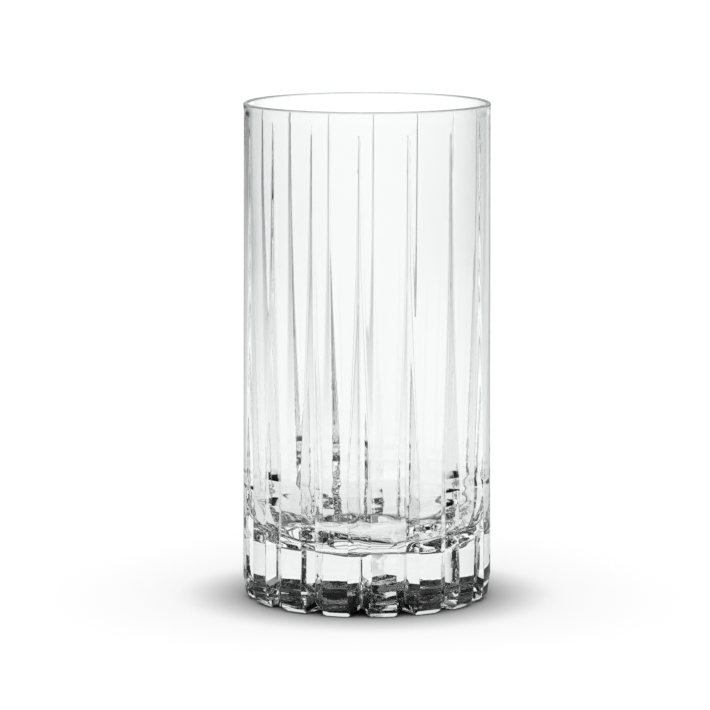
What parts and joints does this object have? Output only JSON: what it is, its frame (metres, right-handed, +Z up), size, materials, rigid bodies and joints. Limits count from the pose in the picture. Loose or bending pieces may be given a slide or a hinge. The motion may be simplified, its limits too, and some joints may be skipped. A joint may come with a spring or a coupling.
{
  "type": "highball glass",
  "caption": "Tall straight-sided drinking glass of clear cut crystal: thin wall with long upright mitre cuts that deepen at a thick solid foot, polished plain rim and open bowl.",
  "frame": {"origin": "centre of the face that the glass stands on", "axes": "+Z up along the axis of the glass, towards the rim; -Y towards the viewer of the picture"},
  "size_m": [0.0752, 0.0752, 0.15],
  "materials": {
    "crystal": "clear crystal glass, cut and polished, fire-polished at the lip"
  },
  "bodies": {
    "root": {"foot": "crystal", "wall": "crystal", "rim": "crystal"}
  },
  "joints": []
}
